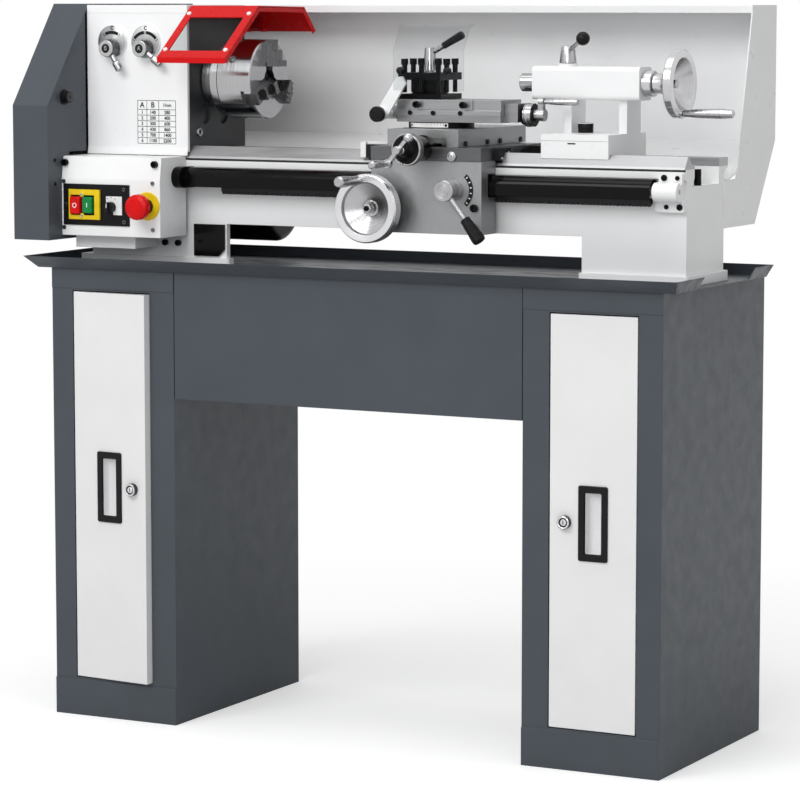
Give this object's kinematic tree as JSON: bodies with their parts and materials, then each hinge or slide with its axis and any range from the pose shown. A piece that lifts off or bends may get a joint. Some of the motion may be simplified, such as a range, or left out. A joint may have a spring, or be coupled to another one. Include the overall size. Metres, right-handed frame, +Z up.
{
  "type": "bench lathe",
  "caption": "Manual metal-turning lathe on a two-cabinet stand, with chuck, guard, carriage, tailstock, gear cover and splash guard.",
  "frame": {"origin": "middle of the bounding box at floor level", "axes": "+X along the bed from the headstock to the tailstock, +Y from the operator to the back, +Z up"},
  "size_m": [1.1358, 0.5303, 1.13],
  "materials": {
    "left_cabinet": "slate grey powder coat",
    "right_cabinet": "slate grey powder coat",
    "centre_panel": "slate grey powder coat",
    "chip_tray": "slate grey powder coat",
    "bed": "white enamel with ground ways",
    "bed_covers": "black textured paint",
    "leadscrew_bracket": "white enamel",
    "headstock_casing": "dark graphite enamel",
    "headstock_covers": "white enamel",
    "motor": "black enamel",
    "drive_belt": "black moulded belt",
    "control_box": "white enamel",
    "switch_plate": "moulded",
    "rear_guard": "white enamel",
    "fasteners": "blackened",
    "left_door": "off-white powder coat",
    "left_door_lock": "cylinder lock",
    "right_door": "off-white powder coat",
    "right_door_lock": "cylinder lock",
    "gear_cover": "slate grey powder coat",
    "cover_knob": "moulded",
    "spindle": "turned and polished",
    "chuck_body": "turned and polished",
    "chuck_jaw_1": "turned and polished",
    "chuck_jaw_2": "turned and polished",
    "chuck_jaw_3": "turned and polished",
    "input_shaft": "turned and polished",
    "motor_pulley": "turned and polished",
    "idler_gear": "turned and polished",
    "leadscrew": "turned and polished",
    "chuck_guard": "red gloss paint",
    "guard_window": "clear plastic",
    "speed_lever_a": "chromed",
    "speed_lever_b": "chromed",
    "stop_button": "moulded",
    "start_button": "moulded",
    "selector_knob": "moulded",
    "estop_button": "moulded",
    "saddle": "ground and sealed",
    "apron": "ground and sealed",
    "carriage_wheel": "turned and polished",
    "carriage_grip": "turned and polished",
    "half_nut": "machined",
    "half_nut_lever": "turned and polished",
    "cross_slide": "turned and polished",
    "cross_crank": "turned and polished",
    "cross_grip": "turned and polished",
    "swivel_base": "blackened",
    "top_slide": "turned and polished",
    "top_crank": "turned and polished",
    "top_grip": "turned and polished",
    "tool_post": "blackened",
    "tool_post_lever": "turned and polished",
    "tool_shield": "clear plastic",
    "shield_arm": "white enamel",
    "tailstock": "white enamel",
    "quill": "turned and polished",
    "tailstock_wheel": "turned and polished",
    "tailstock_grip": "turned and polished",
    "quill_lock": "moulded"
  },
  "bodies": {
    "lathe": {"left_cabinet": "left_cabinet", "right_cabinet": "right_cabinet", "centre_panel": "centre_panel", "chip_tray": "chip_tray", "bed": "bed", "bed_covers": "bed_covers", "leadscrew_bracket": "leadscrew_bracket", "headstock_casing": "headstock_casing", "headstock_covers": "headstock_covers", "motor": "motor", "drive_belt": "drive_belt", "control_box": "control_box", "switch_plate": "switch_plate", "rear_guard": "rear_guard", "fasteners": "fasteners"},
    "left_door": {"left_door": "left_door"},
    "left_door_lock": {"left_door_lock": "left_door_lock"},
    "right_door": {"right_door": "right_door"},
    "right_door_lock": {"right_door_lock": "right_door_lock"},
    "gear_cover": {"gear_cover": "gear_cover"},
    "cover_knob": {"cover_knob": "cover_knob"},
    "spindle": {"spindle": "spindle", "chuck_body": "chuck_body"},
    "jaw_1": {"chuck_jaw_1": "chuck_jaw_1"},
    "jaw_2": {"chuck_jaw_2": "chuck_jaw_2"},
    "jaw_3": {"chuck_jaw_3": "chuck_jaw_3"},
    "input_shaft": {"input_shaft": "input_shaft"},
    "motor_shaft": {"motor_pulley": "motor_pulley"},
    "idler": {"idler_gear": "idler_gear"},
    "leadscrew": {"leadscrew": "leadscrew"},
    "chuck_guard": {"chuck_guard": "chuck_guard", "guard_window": "guard_window"},
    "speed_lever_a": {"speed_lever_a": "speed_lever_a"},
    "speed_lever_b": {"speed_lever_b": "speed_lever_b"},
    "stop_button": {"stop_button": "stop_button"},
    "start_button": {"start_button": "start_button"},
    "selector": {"selector_knob": "selector_knob"},
    "estop": {"estop_button": "estop_button"},
    "carriage": {"saddle": "saddle", "apron": "apron"},
    "carriage_wheel": {"carriage_wheel": "carriage_wheel"},
    "carriage_grip": {"carriage_grip": "carriage_grip"},
    "half_nut": {"half_nut": "half_nut"},
    "half_nut_lever": {"half_nut_lever": "half_nut_lever"},
    "cross_slide": {"cross_slide": "cross_slide"},
    "cross_crank": {"cross_crank": "cross_crank"},
    "cross_grip": {"cross_grip": "cross_grip"},
    "swivel": {"swivel_base": "swivel_base"},
    "top_slide": {"top_slide": "top_slide"},
    "top_crank": {"top_crank": "top_crank"},
    "top_grip": {"top_grip": "top_grip"},
    "tool_post": {"tool_post": "tool_post"},
    "tool_post_lever": {"tool_post_lever": "tool_post_lever"},
    "tool_shield": {"tool_shield": "tool_shield", "shield_arm": "shield_arm"},
    "tailstock": {"tailstock": "tailstock"},
    "quill": {"quill": "quill"},
    "tailstock_wheel": {"tailstock_wheel": "tailstock_wheel"},
    "tailstock_grip": {"tailstock_grip": "tailstock_grip"},
    "quill_lock": {"quill_lock": "quill_lock"}
  },
  "joints": [
    {"name": "left_door_hinge", "type": "hinge", "parent": "lathe", "child": "left_door", "pos_m": [-0.47285, -0.162, 0.372], "axis": [0, 0, -1], "range_deg": [-5.5, 100]},
    {"name": "left_lock_turn", "type": "hinge", "parent": "left_door", "child": "left_door_lock", "pos_m": [-0.36833, -0.17206, 0.372], "axis": [0.0958, 0.9954, 0], "range_deg": [0, 90]},
    {"name": "right_door_hinge", "type": "hinge", "parent": "lathe", "child": "right_door", "pos_m": [0.47915, -0.162, 0.372], "axis": [0, 0, 1], "range_deg": [0, 105]},
    {"name": "right_lock_turn", "type": "hinge", "parent": "right_door", "child": "right_door_lock", "pos_m": [0.37415, -0.162, 0.372], "axis": [0, -1, 0], "range_deg": [0, 90]},
    {"name": "gear_cover_hinge", "type": "hinge", "parent": "lathe", "child": "gear_cover", "pos_m": [-0.50315, 0.2375, 0.945], "axis": [0, 0, -1], "range_deg": [0, 88]},
    {"name": "cover_knob_turn", "type": "hinge", "parent": "gear_cover", "child": "cover_knob", "pos_m": [-0.50315, -0.1565, 0.984], "axis": [1, 0, 0], "range_deg": [0, 90]},
    {"name": "spindle_spin", "type": "hinge", "parent": "lathe", "child": "spindle", "pos_m": [-0.32185, -0.0025, 1.012], "axis": [1, 0, 0], "continuous": true},
    {"name": "jaw_1_slide", "type": "slide", "parent": "spindle", "child": "jaw_1", "axis": [0, 0, -1], "range_m": [-0.006, 0.01]},
    {"name": "jaw_2_slide", "type": "slide", "parent": "spindle", "child": "jaw_2", "axis": [0, 0.866, 0.5], "range_m": [-0.006, 0.01]},
    {"name": "jaw_3_slide", "type": "slide", "parent": "spindle", "child": "jaw_3", "axis": [0, -0.866, 0.5], "range_m": [-0.006, 0.01]},
    {"name": "input_shaft_spin", "type": "hinge", "parent": "lathe", "child": "input_shaft", "pos_m": [-0.42185, 0.05064, 0.95886], "axis": [1, 0, 0], "continuous": true},
    {"name": "motor_spin", "type": "hinge", "parent": "lathe", "child": "motor_shaft", "pos_m": [-0.52185, 0.1575, 0.807], "axis": [1, 0, 0], "continuous": true},
    {"name": "idler_spin", "type": "hinge", "parent": "lathe", "child": "idler", "pos_m": [-0.54185, -0.02355, 0.92177], "axis": [1, 0, 0], "continuous": true},
    {"name": "leadscrew_spin", "type": "hinge", "parent": "lathe", "child": "leadscrew", "pos_m": [-0.02185, -0.0975, 0.858], "axis": [1, 0, 0], "continuous": true},
    {"name": "chuck_guard_hinge", "type": "hinge", "parent": "lathe", "child": "chuck_guard", "pos_m": [-0.25585, 0.0825, 1.094], "axis": [-1, 0, 0], "range_deg": [0, 85]},
    {"name": "speed_lever_a_turn", "type": "hinge", "parent": "lathe", "child": "speed_lever_a", "pos_m": [-0.39185, -0.0975, 1.06], "axis": [0, 1, 0], "range_deg": [0, 108]},
    {"name": "speed_lever_b_turn", "type": "hinge", "parent": "lathe", "child": "speed_lever_b", "pos_m": [-0.45385, -0.0975, 1.06], "axis": [0, 1, 0], "range_deg": [0, 64]},
    {"name": "stop_button_press", "type": "slide", "parent": "lathe", "child": "stop_button", "axis": [0, 1, 0], "range_m": [0, 0.003], "stiffness_N_per_m": 300},
    {"name": "start_button_press", "type": "slide", "parent": "lathe", "child": "start_button", "axis": [0, 1, 0], "range_m": [0, 0.003], "stiffness_N_per_m": 300},
    {"name": "selector_turn", "type": "hinge", "parent": "lathe", "child": "selector", "pos_m": [-0.40885, -0.1675, 0.814], "axis": [0, 1, 0], "range_deg": [-45, 45]},
    {"name": "estop_press", "type": "slide", "parent": "lathe", "child": "estop", "axis": [0, 1, 0], "range_m": [0, 0.004]},
    {"name": "carriage_slide", "type": "slide", "parent": "lathe", "child": "carriage", "axis": [1, 0, 0], "range_m": [-0.135, 0.02]},
    {"name": "carriage_wheel_turn", "type": "hinge", "parent": "carriage", "child": "carriage_wheel", "pos_m": [0.04715, -0.1675, 0.825], "axis": [0, -1, 0], "range_deg": [-710, 110]},
    {"name": "carriage_grip_spin", "type": "hinge", "parent": "carriage_wheel", "child": "carriage_grip", "pos_m": [0.03615, -0.2075, 0.86724], "axis": [0, 1, 0], "continuous": true},
    {"name": "half_nut_lever_turn", "type": "hinge", "parent": "carriage", "child": "half_nut_lever", "pos_m": [0.17415, -0.1675, 0.854], "axis": [0, -1, 0], "range_deg": [0, 40]},
    {"name": "half_nut_slide", "type": "slide", "parent": "carriage", "child": "half_nut", "axis": [0, 0, 1], "range_m": [0, 0.004]},
    {"name": "cross_slide_feed", "type": "slide", "parent": "carriage", "child": "cross_slide", "axis": [0, 1, 0], "range_m": [-0.038, 0.004]},
    {"name": "cross_crank_turn", "type": "hinge", "parent": "carriage", "child": "cross_crank", "pos_m": [0.11965, -0.1875, 0.915], "axis": [0, 1, 0], "range_deg": [-5475, 580]},
    {"name": "cross_grip_spin", "type": "hinge", "parent": "cross_crank", "child": "cross_grip", "pos_m": [0.10183, -0.2375, 0.89475], "axis": [0, 1, 0], "continuous": true},
    {"name": "swivel_turn", "type": "hinge", "parent": "cross_slide", "child": "swivel", "pos_m": [0.10615, -0.0435, 0.948], "axis": [0, 0, 1], "range_deg": [-45, 0]},
    {"name": "top_slide_feed", "type": "slide", "parent": "swivel", "child": "top_slide", "axis": [1, 0, 0], "range_m": [-0.06, 0]},
    {"name": "top_crank_turn", "type": "hinge", "parent": "swivel", "child": "top_crank", "pos_m": [0.25815, -0.0435, 0.9642], "axis": [1, 0, 0], "range_deg": [-8650, 20]},
    {"name": "top_grip_spin", "type": "hinge", "parent": "top_crank", "child": "top_grip", "pos_m": [0.30815, -0.0435, 0.9842], "axis": [1, 0, 0], "continuous": true},
    {"name": "tool_post_turn", "type": "hinge", "parent": "top_slide", "child": "tool_post", "pos_m": [0.08515, -0.0415, 1], "axis": [0, 0, 1], "continuous": true},
    {"name": "tool_post_lever_turn", "type": "hinge", "parent": "top_slide", "child": "tool_post_lever", "pos_m": [0.08515, -0.0415, 1.045], "axis": [0, 0, 1], "range_deg": [0, 120]},
    {"name": "tool_shield_tilt", "type": "hinge", "parent": "top_slide", "child": "tool_shield", "pos_m": [0.03515, -0.0975, 0.9642], "axis": [0, -1, 0], "range_deg": [0, 60]},
    {"name": "tailstock_slide", "type": "slide", "parent": "lathe", "child": "tailstock", "axis": [1, 0, 0], "range_m": [-0.02, 0.105]},
    {"name": "quill_feed", "type": "slide", "parent": "tailstock", "child": "quill", "axis": [-1, 0, 0], "range_m": [0, 0.05]},
    {"name": "tailstock_wheel_turn", "type": "hinge", "parent": "tailstock", "child": "tailstock_wheel", "pos_m": [0.45815, -0.0025, 1.012], "axis": [1, 0, 0], "range_deg": [-20, 9010]},
    {"name": "tailstock_grip_spin", "type": "hinge", "parent": "tailstock_wheel", "child": "tailstock_grip", "pos_m": [0.52815, -0.0025, 0.969], "axis": [1, 0, 0], "continuous": true},
    {"name": "quill_lock_turn", "type": "hinge", "parent": "tailstock", "child": "quill_lock", "pos_m": [0.29815, -0.0025, 1.045], "axis": [0, 0, 1], "range_deg": [0, 60]}
  ],
  "couplings": [
    {"joint": "jaw_2_slide", "follows": "jaw_1_slide", "ratio": 1},
    {"joint": "jaw_3_slide", "follows": "jaw_1_slide", "ratio": 1},
    {"joint": "input_shaft_spin", "follows": "spindle_spin", "ratio": -2},
    {"joint": "motor_spin", "follows": "spindle_spin", "ratio": -3.6},
    {"joint": "idler_spin", "follows": "spindle_spin", "ratio": -0.48},
    {"joint": "leadscrew_spin", "follows": "spindle_spin", "ratio": 0.85714},
    {"joint": "carriage_wheel_turn", "follows": "carriage_slide", "rad_per_m": 90.909},
    {"joint": "half_nut_slide", "follows": "half_nut_lever_turn", "m_per_rad": 0.0057},
    {"joint": "cross_crank_turn", "follows": "cross_slide_feed", "rad_per_m": 2513.3},
    {"joint": "top_crank_turn", "follows": "top_slide_feed", "rad_per_m": 2513.3},
    {"joint": "tailstock_wheel_turn", "follows": "quill_feed", "rad_per_m": 3141.6}
  ]
}
